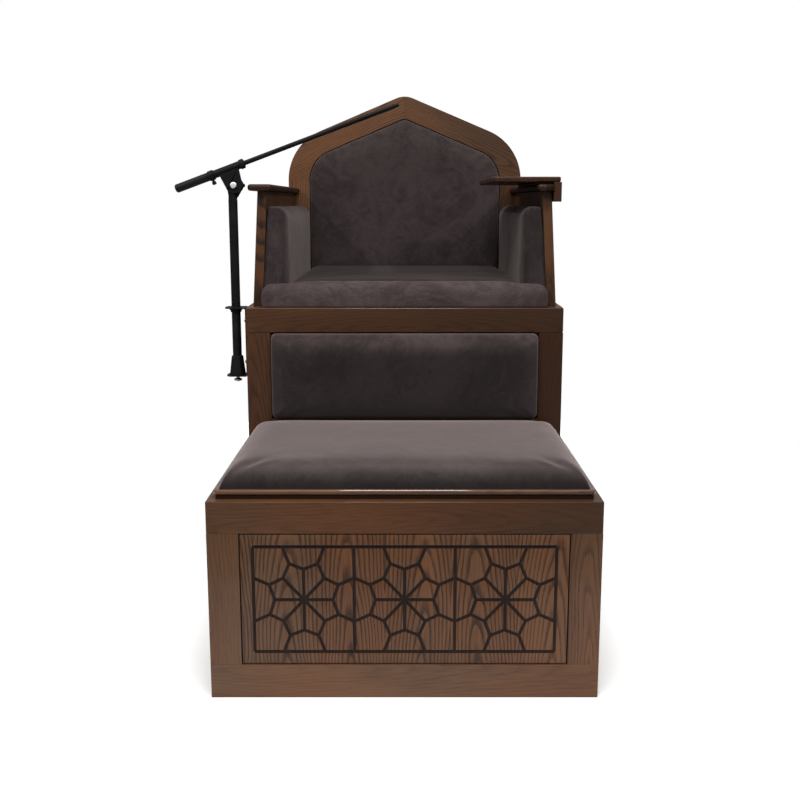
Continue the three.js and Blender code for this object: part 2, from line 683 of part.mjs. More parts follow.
// Pieces on the boom, in a group whose origin is the tilt pivot and whose +X is the boom's way.
function boom() {
  const group = new THREE.Group();
  group.position.copy(PIVOT);
  group.rotation.y = -BOOM_SLOPE;
  chair.add(group);
  const onBoom = (profile, segments = 20) => turned(profile, "x", 0, 0, BOOM_OFFSET, segments);
  const bore = onBoom(rod(ROD_RADIUS + GAP, -200, 200));
  const screwX = (SLEEVE_REAR + COLLAR_REAR) / 2;
  const clampRoom = turned(rod(3 + 2 * GAP, 0, BOOM_OFFSET), "z", screwX, 0, 0, 12);

  const sleeve = onBoom([
    [0, SLEEVE_REAR],
    [9.8, SLEEVE_REAR],
    [9.8, SLEEVE_FRONT - 12],
    [12, SLEEVE_FRONT - 11],
    [12, SLEEVE_FRONT - 2],
    [10, SLEEVE_FRONT],
    [0, SLEEVE_FRONT],
  ]);
  const web = polygon([
    [-DISC_RADIUS * 0.96, -4],
    [DISC_RADIUS * 0.96, -4],
    [25, BOOM_OFFSET - 6],
    [-24, BOOM_OFFSET - 6],
  ]);
  const cheek = turned(rod(DISC_RADIUS, -DISC_THICKNESS, 0.5), "y", 0, 0, 0);
  const tee = join(sleeve, prism(web, "y", -DISC_THICKNESS, 0.5), cheek);
  const pivotHole = turned(rod(PIVOT_BORE, -30, 30), "y", 0, 0, 0, 16);
  add("boom_tee", cut(tee, bore, pivotHole), blackPlastic, group);

  const collar = onBoom([
    [0, COLLAR_REAR],
    [11.5, COLLAR_REAR],
    [12.5, COLLAR_REAR + 1.5],
    [12.5, SLEEVE_REAR - GAP],
    [0, SLEEVE_REAR - GAP],
  ]);
  add("clamp_collar", cut(collar, bore, clampRoom), blackPlastic, group);

  const screw = [
    [0, BOOM_OFFSET - 23],
    [4.4, BOOM_OFFSET - 23],
    [5.2, BOOM_OFFSET - 22],
    [5.2, BOOM_OFFSET - 16],
    [3, BOOM_OFFSET - 14],
    [3, BOOM_OFFSET - ROD_RADIUS - GAP],
    [0, BOOM_OFFSET - ROD_RADIUS - GAP],
  ];
  add("clamp_screw", turned(screw, "z", screwX, 0, 0, 12), blackPlastic, group);

  const weightFront = COLLAR_REAR - GAP;
  const weight = onBoom([
    [0, WEIGHT_REAR],
    [8, WEIGHT_REAR],
    [10.5, WEIGHT_REAR + 3],
    [10.5, weightFront - 1.5],
    [9.5, weightFront],
    [0, weightFront],
  ]);
  const seat = onBoom(rod(ROD_RADIUS + GAP, WEIGHT_REAR + 8, 0));
  add("counterweight", cut(weight, seat), blackMetal, group);
  const rodRear = WEIGHT_REAR + 8 + GAP;
  const bar = onBoom(tube(ROD_RADIUS - ROD_WALL, ROD_RADIUS, rodRear, ROD_FRONT));
  add("boom_rod", bar, blackMetal, group);
  const plug = ROD_RADIUS - ROD_WALL - GAP;
  const thread = onBoom([
    [0, ROD_FRONT - 15],
    [plug, ROD_FRONT - 15],
    [plug, ROD_FRONT + GAP],
    [ROD_RADIUS, ROD_FRONT + GAP],
    [ROD_RADIUS, ROD_FRONT + 1.5],
    [4.7, ROD_FRONT + 2],
    [4.7, ROD_FRONT + 11],
    [4, ROD_FRONT + THREAD_LENGTH],
    [0, ROD_FRONT + THREAD_LENGTH],
  ], 16);
  add("boom_tip_thread", thread, blackMetal, group);
}

lowerBox();
upperBox();
armchair();
backrest();
bookBoard();
bracketParts();
pole();
swivel();
boom();

export default chair;
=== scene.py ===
import json
import math

import bmesh
import bpy
import numpy as np
from mathutils import Matrix, Vector


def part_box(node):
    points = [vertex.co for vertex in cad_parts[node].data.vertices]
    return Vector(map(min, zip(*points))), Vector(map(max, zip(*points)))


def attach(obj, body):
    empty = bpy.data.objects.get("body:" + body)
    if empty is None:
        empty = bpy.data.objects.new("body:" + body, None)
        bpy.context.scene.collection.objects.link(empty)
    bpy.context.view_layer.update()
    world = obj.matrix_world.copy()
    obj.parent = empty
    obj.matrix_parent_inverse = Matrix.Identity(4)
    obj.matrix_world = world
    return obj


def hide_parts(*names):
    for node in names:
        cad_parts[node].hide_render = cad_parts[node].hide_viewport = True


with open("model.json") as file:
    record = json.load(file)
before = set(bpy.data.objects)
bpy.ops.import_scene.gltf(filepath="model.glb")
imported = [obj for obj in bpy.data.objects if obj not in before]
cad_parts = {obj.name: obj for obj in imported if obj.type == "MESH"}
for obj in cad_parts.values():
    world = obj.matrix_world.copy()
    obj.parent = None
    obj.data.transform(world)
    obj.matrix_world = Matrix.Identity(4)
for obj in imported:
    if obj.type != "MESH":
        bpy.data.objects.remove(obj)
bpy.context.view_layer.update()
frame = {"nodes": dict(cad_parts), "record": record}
NODES = frame["nodes"]
MM = 0.001


# ---- Node trees ----
def node(tree, kind, inputs=None, **settings):
    """Adds a shader node; inputs takes socket names or numbers, with values or sockets to link."""
    made = tree.nodes.new(kind)
    for name, value in settings.items():
        setattr(made, name, value)
    for name, value in (inputs or {}).items():
        if isinstance(value, bpy.types.NodeSocket):
            tree.links.new(value, made.inputs[name])
        else:
            made.inputs[name].default_value = value
    return made


def calc(tree, operation, *values, clamp=False):
    """A Math node's result; each value is a number or a socket."""
    made = node(tree, "ShaderNodeMath", dict(enumerate(values)), operation=operation)
    made.use_clamp = clamp
    return made.outputs[0]


def ramp(tree, value, low, high, to_low=0.0, to_high=1.0):
    """value from low..high, smoothly, to to_low..to_high."""
    inputs = {"Value": value, "From Min": low, "From Max": high, "To Min": to_low, "To Max": to_high}
    return node(tree, "ShaderNodeMapRange", inputs, interpolation_type="SMOOTHSTEP").outputs[0]


def noise(tree, vector, scale=1.0, detail=2.0, roughness=0.5, distortion=0.0):
    inputs = {"Vector": vector, "Scale": scale, "Detail": detail}
    inputs.update({"Roughness": roughness, "Distortion": distortion})
    return node(tree, "ShaderNodeTexNoise", inputs).outputs["Fac"]


def mix_colours(tree, factor, first, second, blend="MIX"):
    """Two colours mixed; on this node sockets 6 and 7 take colours and output 2 gives one."""
    inputs = {"Factor": factor, 6: first, 7: second}
    made = node(tree, "ShaderNodeMix", inputs, data_type="RGBA", blend_type=blend)
    return made.outputs[2]


def grey(tree, level):
    """The grey with this level in red, green and blue."""
    return node(tree, "ShaderNodeCombineColor", {0: level, 1: level, 2: level}).outputs[0]


def bump(tree, height, strength, distance):
    inputs = {"Height": height, "Strength": strength, "Distance": distance}
    return node(tree, "ShaderNodeBump", inputs).outputs[0]


def new_material(name):
    """An empty material, its node tree and its Principled shader."""
    material = bpy.data.materials.new(name)
    material.use_nodes = True
    tree = material.node_tree
    tree.nodes.clear()
    shader = node(tree, "ShaderNodeBsdfPrincipled")
    node(tree, "ShaderNodeOutputMaterial", {"Surface": shader.outputs[0]})
    return material, tree, shader


def object_coordinates(tree):
    return node(tree, "ShaderNodeTexCoord").outputs["Object"]


def scaled(tree, a, b, c, ka, kb, kc):
    """The vector (ka a, kb b, kc c)."""
    parts = [calc(tree, "MULTIPLY", s, k) for s, k in ((a, ka), (b, kb), (c, kc))]
    return node(tree, "ShaderNodeCombineXYZ", dict(enumerate(parts))).outputs[0]


# ---- Wood ----
WOOD_LIGHT = (0.112, 0.0570, 0.0285)
WOOD_DARK = (0.019, 0.0080, 0.0040)
# near-black for the grooves: partly stain pooled in them, partly painted shade
GROOVE_STAIN_AND_SHADE = (0.008, 0.0037, 0.0024)
RING = 6.6 * MM  # distance between growth rings
RUN_OUT = 0.09  # how fast the rings run out along a board


def wood(name, axes, centre, seed, figure, tone, gloss, turn=0.0, leaf=None, groove_face=None,
         painted_shade_fade=None):
    """Stained ash, solid through the board. axes names the board's length, width and thickness,
    such as "xzy". seed shifts the figure, figure is the strength of the rings, tone how light the
    stain is, and partly painted shade where a board is made darker for the shade it stands in; gloss
    is the strength of the varnish. turn is the angle of the grain, leaf the width of the veneer
    leaves on a panel and groove_face the face that the grooves are cut into; the grooves are painted
    near-black, partly stain pooled in them and partly painted shade. The last argument, when given,
    holds the level of painted shade at the board's far end and the board's half length: the board is
    painted darker towards that end, as shade."""
    material, tree, shader = new_material(name)
    position = object_coordinates(tree)
    if turn:
        inputs = {"Vector": position, "Center": centre, "Angle": turn}
        position = node(tree, "ShaderNodeVectorRotate", inputs, rotation_type="Y_AXIS").outputs[0]
    xyz = node(tree, "ShaderNodeSeparateXYZ", {0: position}).outputs
    order = ["xyz".index(letter) for letter in axes]
    shift = ((seed * 0.37) % 1.0, (seed * 0.61) % 1.0 - 0.5)
    along = calc(tree, "ADD", xyz[order[0]], -centre[order[0]])
    a = calc(tree, "ADD", along, 3 * shift[0])
    b = calc(tree, "ADD", xyz[order[1]], -centre[order[1]])
    c = calc(tree, "ADD", xyz[order[2]], -centre[order[2]])
    heart = calc(tree, "ADD", b, 0.10 * shift[1])
    if leaf:
        heart = calc(tree, "PINGPONG", calc(tree, "ADD", b, 1.3 * leaf), leaf)
        heart = calc(tree, "ADD", heart, -0.4 * leaf)
    wander = noise(tree, scaled(tree, a, b, c, 1.9, 1.5, 0), 1.0, 1.5)
    across = calc(tree, "ADD", heart, calc(tree, "MULTIPLY_ADD", wander, 0.08, -0.04))
    depth = calc(tree, "MULTIPLY_ADD", along, RUN_OUT, 0.010 + 0.03 * shift[0])
    depth = calc(tree, "ADD", depth, c)
    radius = calc(tree, "SQRT", calc(tree, "ADD", calc(tree, "MULTIPLY", across, across),
                                     calc(tree, "MULTIPLY", depth, depth)))
    waver = noise(tree, scaled(tree, a, b, c, 6.0, 30.0, 30.0), 1.0, 3.0)
    radius = calc(tree, "MULTIPLY_ADD", waver, 0.009, radius)
    ring = calc(tree, "FRACT", calc(tree, "DIVIDE", radius, RING))
    early = calc(tree, "MULTIPLY", ramp(tree, ring, 0.0, 0.12), ramp(tree, ring, 0.14, 0.62, 1, 0))
    fibre = noise(tree, scaled(tree, a, b, c, 16.0, 520.0, 520.0), 1.0, 3.0, 0.65)
    pores = noise(tree, scaled(tree, a, b, c, 75.0, 1150.0, 1150.0), 1.0, 1.0)
    pores = calc(tree, "MULTIPLY", ramp(tree, pores, 0.54, 0.66), early)
    mottle = noise(tree, scaled(tree, a, b, c, 2.2, 11.0, 11.0), 1.0, 4.0, 0.55)
    cloud = noise(tree, scaled(tree, a, b, c, 1.4, 3.0, 3.0), 1.0, 2.0)
    dark = calc(tree, "MULTIPLY", early, 0.95 * figure)
    dark = calc(tree, "MULTIPLY_ADD", pores, 0.5 * figure + 0.15, dark)
    dark = calc(tree, "ADD", dark, calc(tree, "MULTIPLY_ADD", fibre, 1.1, -0.52))
    dark = calc(tree, "ADD", dark, calc(tree, "MULTIPLY_ADD", mottle, 1.2, -0.48), clamp=True)
    stain = (tone, tone * (0.7 + 0.3 * tone), tone * (0.45 + 0.55 * tone))
    light = tuple(k * part for k, part in zip(WOOD_LIGHT, stain)) + (1,)
    warm = (light[0] * 1.15, light[1] * 0.94, light[2] * 0.75, 1)
    ground = mix_colours(tree, ramp(tree, cloud, 0.40, 0.62), light, warm)
    deep = tuple(k * (0.4 + 0.6 * part) for k, part in zip(WOOD_DARK, stain)) + (1,)
    colour = mix_colours(tree, dark, ground, deep)
    # painted shade: the colour is darkened towards the board's right-hand end
    if painted_shade_fade:
        level, half_length = painted_shade_fade
        painted_shade_level = ramp(tree, along, -half_length, half_length, 1.0, level)
        colour = mix_colours(tree, 1.0, colour, grey(tree, painted_shade_level), "MULTIPLY")
    # the grooves are painted near-black from just under the face: stain pooled there and painted
    # shade
    if groove_face is not None:
        sunk = ramp(tree, xyz[1], groove_face + 0.1 * MM, groove_face + 0.9 * MM, 0, 0.93)
        colour = mix_colours(tree, sunk, colour, (*GROOVE_STAIN_AND_SHADE, 1))
    tree.links.new(colour, shader.inputs["Base Color"])
    rough = calc(tree, "MULTIPLY_ADD", dark, 0.15, 0.36)
    if groove_face is not None:
        rough = calc(tree, "MULTIPLY_ADD", sunk, 0.4, rough)
    tree.links.new(calc(tree, "MULTIPLY_ADD", cloud, 0.12, rough), shader.inputs["Roughness"])
    height = calc(tree, "SUBTRACT", 1.0, calc(tree, "MULTIPLY_ADD", fibre, 0.35, dark))
    tree.links.new(bump(tree, height, 0.45, 0.25 * MM), shader.inputs["Normal"])
    shader.inputs["Specular IOR Level"].default_value = 0.2
    shader.inputs["Coat Weight"].default_value = gloss
    shader.inputs["Coat Roughness"].default_value = 0.12 if gloss < 0.2 else 0.06
    return material


# ---- Velvet ----
VELVET_DOWN = (0.0210, 0.0140, 0.0143)
VELVET_UP = (0.0370, 0.0268, 0.0264)


def velvet(name, nap, tone=1.0, sheen=0.5, stretch=(1, 1, 1), painted_light_ramp=None):
    """Short-pile velvet: a fine pile, marks where it was brushed the other way, and sheen. nap
    moves the marks, and stretch draws them out along the axes where it is under 1. tone sets how
    light the velvet is; the cushions, all of one velvet, get different tones, partly as painted
    light and shade. The last argument, when given, holds an axis, two places along it, and how light
    the
    colour is at each: painted light and shade, lighter where light falls and darker where the
    cushion faces away from it or lies in shade."""
    material, tree, shader = new_material(name)
    inputs = {"Vector": object_coordinates(tree), "Location": nap, "Scale": stretch}
    moved = node(tree, "ShaderNodeMapping", inputs).outputs[0]
    broad = noise(tree, moved, 4.5, 4.0, 0.6, 0.9)
    strokes = noise(tree, moved, 15.0, 5.0, 0.62, 2.6)
    fingers = noise(tree, moved, 34.0, 3.0, 0.6, 3.5)
    pile = noise(tree, moved, 850.0, 2.0, 0.7)
    weave = noise(tree, moved, 240.0, 2.0, 0.6)
    lay = calc(tree, "MULTIPLY_ADD", broad, 0.5, calc(tree, "MULTIPLY", strokes, 0.35))
    lay = calc(tree, "MULTIPLY_ADD", fingers, 0.15, lay)
    brushed = ramp(tree, lay, 0.40, 0.61)
    down = tuple(k * tone for k in VELVET_DOWN) + (1,)
    up = tuple(k * tone for k in VELVET_UP) + (1,)
    colour = mix_colours(tree, brushed, down, up)
    speck = calc(tree, "MULTIPLY_ADD", pile, 0.7, calc(tree, "MULTIPLY_ADD", weave, 0.5, 0.4))
    # painted light and shade: the colour is scaled between two places along one axis
    if painted_light_ramp:
        axis, *places = painted_light_ramp
        place = node(tree, "ShaderNodeSeparateXYZ", {0: object_coordinates(tree)}).outputs[axis]
        speck = calc(tree, "MULTIPLY", speck, ramp(tree, place, *places))
    shaded = mix_colours(tree, 1.0, colour, grey(tree, speck), "MULTIPLY")
    tree.links.new(shaded, shader.inputs["Base Color"])
    tree.links.new(calc(tree, "MULTIPLY_ADD", brushed, -0.15, 0.97), shader.inputs["Roughness"])
    height = calc(tree, "MULTIPLY_ADD", lay, 2.0, calc(tree, "MULTIPLY", weave, 0.22))
    height = calc(tree, "MULTIPLY_ADD", pile, 0.10, height)
    tree.links.new(bump(tree, height, 0.45, 1.5 * MM), shader.inputs["Normal"])
    shader.inputs["Sheen Weight"].default_value = sheen
    shader.inputs["Sheen Roughness"].default_value = 0.5
    shader.inputs["Sheen Tint"].default_value = (0.82, 0.69, 0.66, 1)
    shader.inputs["Specular IOR Level"].default_value = 0.1
    return material


# ---- Metals and plastic ----
def coated(name, colour, rough, metallic=0.0, grain=260.0, depth=0.06, wear=0.0):
    """A painted, plated or moulded surface: fine grain in height, uneven gloss, worn patches."""
    material, tree, shader = new_material(name)
    position = object_coordinates(tree)
    fine = noise(tree, position, grain, 3.0, 0.6)
    patches = noise(tree, position, 14.0, 3.0, 0.6)
    worn = tuple(min(1, k * (1 + wear) + 0.003 * wear) for k in colour) + (1,)
    mixed = mix_colours(tree, ramp(tree, patches, 0.45, 0.7), (*colour, 1), worn)
    tree.links.new(mixed, shader.inputs["Base Color"])
    gloss = calc(tree, "MULTIPLY_ADD", patches, 0.25, rough - 0.12)
    gloss = calc(tree, "MULTIPLY_ADD", fine, 0.08, gloss)
    tree.links.new(gloss, shader.inputs["Roughness"])
    tree.links.new(bump(tree, fine, depth, 0.3 * MM), shader.inputs["Normal"])
    shader.inputs["Metallic"].default_value = metallic
    shader.inputs["Specular IOR Level"].default_value = 0.5 if metallic else 0.12
    return material


# ---- Geometry of CAD nodes: welded, flat faces joined, edges eased ----
def weld_group():
    """Geometry nodes that merge a CAD node's split corners and drop its stored normals."""
    group = bpy.data.node_groups.new("weld", "GeometryNodeTree")
    group.interface.new_socket("Geometry", in_out="INPUT", socket_type="NodeSocketGeometry")
    group.interface.new_socket("Geometry", in_out="OUTPUT", socket_type="NodeSocketGeometry")
    start = group.nodes.new("NodeGroupInput")
    end = group.nodes.new("NodeGroupOutput")
    merge = group.nodes.new("GeometryNodeMergeByDistance")
    merge.inputs["Distance"].default_value = 0.005 * MM
    drop = group.nodes.new("GeometryNodeRemoveAttribute")
    drop.inputs["Name"].default_value = "custom_normal"
    smooth = group.nodes.new("GeometryNodeSetShadeSmooth")
    for one, two in ((start, drop), (drop, merge), (merge, smooth), (smooth, end)):
        group.links.new(one.outputs[0], two.inputs[0])
    return group


WELD = weld_group()


def ease(obj, width, angle=35.0):
    """Welds a CAD node and, where width is given, rounds the edges sharper than angle."""
    obj.modifiers.new("weld", "NODES").node_group = WELD
    flat = obj.modifiers.new("flat", "DECIMATE")
    flat.decimate_type = "DISSOLVE"
    flat.angle_limit = math.radians(0.5)
    if width:
        edge = obj.modifiers.new("edge", "BEVEL")
        edge.width = width
        edge.segments = 2
        edge.limit_method = "ANGLE"
        edge.angle_limit = math.radians(angle)
        edge.use_clamp_overlap = True
        edge.harden_normals = False
    normals = obj.modifiers.new("normals", "WEIGHTED_NORMAL")
    normals.keep_sharp = True
    normals.mode = "FACE_AREA_WITH_ANGLE"


def link(name, data):
    """Adds an object to the scene with this mesh, light or camera."""
    obj = bpy.data.objects.new(name, data)
    bpy.context.scene.collection.objects.link(obj)
    return obj


def dress(name, material):
    """Gives a CAD node one material."""
    obj = NODES[name]
    obj.data.materials.clear()
    obj.data.materials.append(material)
    return obj


def centre_of(name):
    low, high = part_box(name)
    return (low + high) / 2


# ---- Camera, light and floor ----
CAMERA_GAP = 1.59  # in front of the lower box
CAMERA_HEIGHT = 0.989
CAMERA_DIP = math.radians(8.5)  # below level
SEAT_CENTRE = Vector((0, 0.3, 0.5))


def camera():
    data = bpy.data.cameras.new("camera")
    data.sensor_width = 36.0
    data.lens = 38.25
    data.shift_x = -0.00575
    data.shift_y = -0.0875
    obj = link("camera", data)
    obj.location = (0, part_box("lower_top_rail")[0].y - CAMERA_GAP, CAMERA_HEIGHT)
    obj.rotation_euler = (math.radians(90) - CAMERA_DIP, 0, 0)
    bpy.context.scene.camera = obj


def sun(name, towards, strength, spread):
    """Light from far away; towards points at the light, spread softens its shadows."""
    data = bpy.data.lights.new(name, "SUN")
    data.energy = strength
    data.angle = math.radians(spread)
    obj = link(name, data)
    obj.rotation_euler = Vector(towards).to_track_quat("Z", "Y").to_euler()


def pale_floor():
    material, tree, shader = new_material("pale_floor")
    grain = noise(tree, object_coordinates(tree), 30.0, 2.0)
    tone = calc(tree, "MULTIPLY_ADD", grain, 0.02, 0.95)
    tree.links.new(grey(tree, tone), shader.inputs["Base Color"])
    shader.inputs["Roughness"].default_value = 0.9
    shader.inputs["Specular IOR Level"].default_value = 0.0
    return material


def area(name, place, size, power):
    """A soft box above the object, facing its seat."""
    data = bpy.data.lights.new(name, "AREA")
    data.shape = "RECTANGLE"
    data.size, data.size_y = size
    data.energy = power
    obj = link(name, data)
    obj.location = place
    towards = Vector(place) - SEAT_CENTRE
    obj.rotation_euler = towards.to_track_quat("Z", "Y").to_euler()


def surroundings():
    """A world that the camera sees as white, and that lights the object as a room does: dim from
    below and brighter from above."""
    world = bpy.data.worlds.new("studio")
    world.use_nodes = True
    tree = world.node_tree
    seen = node(tree, "ShaderNodeLightPath").outputs["Is Camera Ray"]
    way = node(tree, "ShaderNodeTexCoord").outputs["Generated"]
    upward = node(tree, "ShaderNodeSeparateXYZ", {0: way}).outputs[2]
    room = ramp(tree, upward, -0.05, 0.55, 0.12, 0.75)
    strength = calc(tree, "MAXIMUM", room, seen)
    tree.links.new(strength, tree.nodes["Background"].inputs["Strength"])
    tree.nodes["Background"].inputs["Color"].default_value = (1, 1, 1, 1)
    return world


def floor():
    """A pale sheet of limited size, a hair under the boxes."""
    mesh = bpy.data.meshes.new("floor")
    side, front, back = 1.6, -0.55, 2.2
    corners = [(-side, front, 0), (side, front, 0), (side, back, 0), (-side, back, 0)]
    mesh.from_pydata(corners, [], [(0, 1, 2, 3)])
    mesh.materials.append(pale_floor())
    sheet = link("floor", mesh)
    sheet.location.z = -0.2 * MM


def studio():
    bpy.context.scene.view_settings.view_transform = "Standard"
    bpy.context.scene.world = surroundings()
    sun("left", towards=(-1, -0.75, 1), strength=1.45, spread=3)
    sun("right", towards=(1, -0.75, 1), strength=1.4, spread=3)
    area("ceiling", place=(0, -0.6, 2.7), size=(0.6, 1.2), power=36.0)
    floor()


# ---- Wooden parts ----
# node: the directions of its length, width and thickness, the strength of its figure and its tone;
# # the tones are partly the stain and partly painted shade: darker for the lid spacer under the lid,
# the
# # right-hand stiles and gable, and the tablet with its block
BOARDS = {
    "lower_top_rail": ("xzy", 0.16, 0.72),
    "lower_bottom_rail": ("xzy", 0.12, 0.8),
    "lower_stile_left": ("zxy", 0.14, 0.74),
    "lower_stile_right": ("zxy", 0.34, 0.78),
    "carved_panel": ("zxy", 0.62, 0.84),
    "lower_side_left": ("yzx", 0.5, 0.95),
    "lower_side_right": ("yzx", 0.5, 0.95),
    "lower_rear_cleat": ("xzy", 0.4, 0.8),
    # painted shade: the spacer in the recess under the lid is made much darker
    "lower_lid_spacer": ("xyz", 0.2, 0.15),
    "lower_lid": ("xyz", 0.25, 0.8),
    "upper_top_rail": ("xzy", 0.2, 0.55),
    "upper_middle_rail": ("xzy", 0.3, 0.55),
    "upper_foot_rail": ("xzy", 0.3, 0.6),
    "upper_stile_left": ("zxy", 0.3, 0.52),
    # painted shade: the right-hand stile is made darker than the left
    "upper_stile_right": ("zxy", 0.25, 0.26),
    "upper_side_left": ("zyx", 0.5, 0.8),
    "upper_side_right": ("zyx", 0.5, 0.8),
    "front_pad_backing": ("xzy", 0.3, 0.6),
    "upper_seat_board": ("xyz", 0.4, 0.8),
    "upper_rear_panel": ("zxy", 0.6, 0.9),
    "side_panel_left": ("zyx", 0.7, 0.62),
    "side_panel_right": ("zyx", 0.7, 0.66),
    "armrest_left": ("yxz", 0.4, 0.2),
    "armrest_right": ("yxz", 0.4, 0.2),
    "backrest_bottom_rail": ("xzy", 0.4, 0.8),
    "backrest_stile_left": ("zxy", 0.45, 0.98),
    # painted shade: the right-hand stile is made darker than the left
    "backrest_stile_right": ("zxy", 0.45, 0.42),
    "backrest_gable_left": ("xzy", 0.45, 1.0),
    # painted shade: the right-hand gable is made darker than the left
    "backrest_gable_right": ("xzy", 0.45, 0.82),
    "backrest_panel": ("zxy", 0.6, 0.8),
    # painted shade: the tablet and its block are made darker, as in shade
    "tablet_board": ("yxz", 0.4, 0.32),
    "tablet_side_block": ("yzx", 0.4, 0.35),
    "tablet_rest_strip": ("yxz", 0.3, 0.3),
}
# strength of the varnish, level of painted shade at the right-hand end (the board is painted
# # darker towards that end, as shade), and rounding in millimetres, where a board differs from the
# plain ones
GLOSS = {"lower_lid": 1.0, "lower_top_rail": 0.25, "upper_top_rail": 0.25, "carved_panel": 0.05,
         "armrest_left": 0.05, "armrest_right": 0.05}
PAINTED_SHADE_AT_RIGHT = {"lower_top_rail": 0.55, "upper_top_rail": 0.6, "backrest_gable_right": 0.8}
EDGES = {"upper_top_rail": 3.0, "upper_seat_board": 1.0, "lower_top_rail": 1.6,
         "lower_stile_left": 0.5, "lower_stile_right": 0.5, "lower_bottom_rail": 0.5,
         "upper_stile_left": 0.5, "upper_stile_right": 0.5}
PLAIN_GLOSS = 0.12
PLAIN_EDGE = 1.2
SHAPED = ("carved_panel", "armrest_left", "armrest_right", "lower_lid", "tablet_board")
GABLE_TURN = {"backrest_gable_left": math.radians(22.7),
              "backrest_gable_right": -math.radians(22.7)}
PANEL_LEAF = 0.13


def board_edges(obj, name):
    """Rounds a board's edges; the shaped boards have their own profiles and are left as cut."""
    if name in SHAPED:
        ease(obj, 0.0)
    elif name.startswith(("backrest_gable", "backrest_stile")):
        ease(obj, 0.5 * MM, angle=50.0)
    else:
        ease(obj, EDGES.get(name, PLAIN_EDGE) * MM)


def wooden_parts():
    for seed, (name, (axes, figure, tone)) in enumerate(BOARDS.items(), start=1):
        low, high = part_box(name)
        centre = centre_of(name)
        grooves = {}
        if name == "carved_panel":
            grooves = {"groove_face": low.y, "leaf": PANEL_LEAF}
        painted_shade_fade = (PAINTED_SHADE_AT_RIGHT[name], high.x - centre.x) if name in PAINTED_SHADE_AT_RIGHT else None
        material = wood(name + "_wood", axes, centre, seed, figure, tone,
                        GLOSS.get(name, PLAIN_GLOSS), GABLE_TURN.get(name, 0.0), painted_shade_fade=painted_shade_fade,
                        **grooves)
        board_edges(dress(name, material), name)


# ---- Microphone stand and small parts ----
def hard_parts():
    black = coated("satin_black_paint", (0.0050, 0.0050, 0.0054), 0.42, wear=0.5)
    plastic = coated("black_plastic", (0.0042, 0.0042, 0.0046), 0.5, grain=420.0, depth=0.12)
    steel = coated("zinc_steel", (0.55, 0.53, 0.50), 0.34, 1.0)
    finishes = {"black_metal": black, "black_plastic": plastic, "steel": steel}
    slots = {s["node"]: s["material_slot"] for s in frame["record"]["subparts"]}
    for name in NODES:
        if slots[name] in finishes:
            ease(dress(name, finishes[slots[name]]), 0.3 * MM, angle=40.0)
    head_cap(coated("plated_cap", (0.80, 0.79, 0.76), 0.5, 1.0))


# radius and distance along y from the bolt's front face, in millimetres, from its rim inward
CAP_OUTLINE = [(7.4, 0.3), (7.4, -0.4), (6.8, -0.9), (5.0, -1.2), (2.5, -1.35)]


def head_cap(look):
    """A plain domed cap on the front of the swivel head's pivot bolt."""
    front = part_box("pivot_bolt")[0].y
    middle = centre_of("pivot_bolt")
    steps = 40
    form = bmesh.new()
    rings = []
    for radius, along in CAP_OUTLINE:
        ring = []
        for step in range(steps):
            angle = 2 * math.pi * step / steps
            across = Vector((math.cos(angle), 0, math.sin(angle))) * radius * MM
            ring.append(form.verts.new(Vector((middle.x, front + along * MM, middle.z)) + across))
        rings.append(ring)
    for one, two in zip(rings, rings[1:]):
        for step in range(steps):
            after = (step + 1) % steps
            form.faces.new((one[step], one[after], two[after], two[step]))
    form.faces.new(rings[0])
    form.faces.new(rings[-1])
    bmesh.ops.recalc_face_normals(form, faces=form.faces)
    mesh = bpy.data.meshes.new("head_cap")
    form.to_mesh(mesh)
    form.free()
    obj = link("head_cap", mesh)
    mesh.materials.append(look)
    for face in mesh.polygons:
        face.use_smooth = len(face.vertices) == 4
    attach(obj, "pole")


# ---- Cushions and pads ----
VOXEL = 6.0 * MM
STEPS = 20
PRESSURE = 4.0
COVER_STIFFNESS = 12
PULL_IN = 1.5 * MM  # how far the pressed cover may draw a side in
SEAM_DEPTH = 2.2 * MM
SEAM_WIDTH = 3.6 * MM
SEAM_REACH = 22 * MM  # how far down from the top the seam shows


def evaluated_mesh(obj):
    """A new mesh of the object with its modifiers applied."""
    graph = bpy.context.evaluated_depsgraph_get()
    return bpy.data.meshes.new_from_object(obj.evaluated_get(graph))


def points_of(mesh):
    flat = np.zeros(len(mesh.vertices) * 3)
    mesh.vertices.foreach_get("co", flat)
    return flat.reshape(-1, 3)


def set_points(mesh, points):
    mesh.vertices.foreach_set("co", points.ravel())
    mesh.update()


def remeshed_copy(node_name, piece_name, boxed):
    """A new object with the CAD node's solid, or its box, as an even mesh of small squares."""
    form = bmesh.new()
    if boxed:
        low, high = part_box(node_name)
        place = Matrix.LocRotScale((low + high) / 2, None, high - low)
        bmesh.ops.create_cube(form, size=1, matrix=place)
    else:
        form.from_mesh(NODES[node_name].data)
        bmesh.ops.remove_doubles(form, verts=form.verts, dist=0.005 * MM)
    mesh = bpy.data.meshes.new(piece_name)
    form.to_mesh(mesh)
    form.free()
    obj = link(piece_name, mesh)
    remesh = obj.modifiers.new("remesh", "REMESH")
    remesh.mode = "VOXEL"
    remesh.voxel_size = VOXEL
    obj.data = evaluated_mesh(obj)
    obj.modifiers.clear()
    return obj


